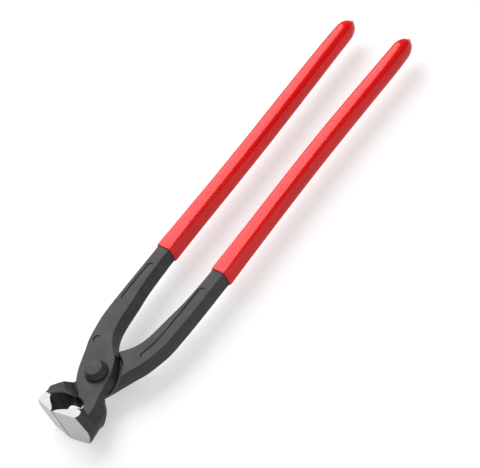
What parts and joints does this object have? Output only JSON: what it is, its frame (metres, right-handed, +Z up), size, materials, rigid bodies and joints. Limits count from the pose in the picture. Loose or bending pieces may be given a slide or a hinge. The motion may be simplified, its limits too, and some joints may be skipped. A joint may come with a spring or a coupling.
{
  "type": "front cutting pliers",
  "caption": "Front cutting pliers with curved end-cutting jaws, crossed forged levers on a riveted lap joint and long dipped plastic grips.",
  "frame": {"origin": "middle of the bounding box in plan, at its lowest height, which is the lower end face of the jaws", "axes": "+Y along the handles, away from the jaws; +Z up along the rivet, towards its coned head; +X to the right when the jaws point away from +Y"},
  "size_m": [0.0498, 0.28, 0.025],
  "materials": {
    "forged_steel": "dark phosphated forging, ground bright at the jaws",
    "rivet_steel": "dark phosphated steel",
    "red_grip_plastic": "glossy red dipped plastic"
  },
  "bodies": {
    "upper": {"top_lever": "forged_steel", "joint_rivet": "rivet_steel", "left_grip": "red_grip_plastic"},
    "lower": {"bottom_lever": "forged_steel", "right_grip": "red_grip_plastic"}
  },
  "joints": [
    {"name": "jaw_hinge", "type": "hinge", "parent": "upper", "child": "lower", "pos_m": [0, -0.1088, 0.0125], "axis": [0, 0, -1], "range_deg": [0, 28]}
  ]
}
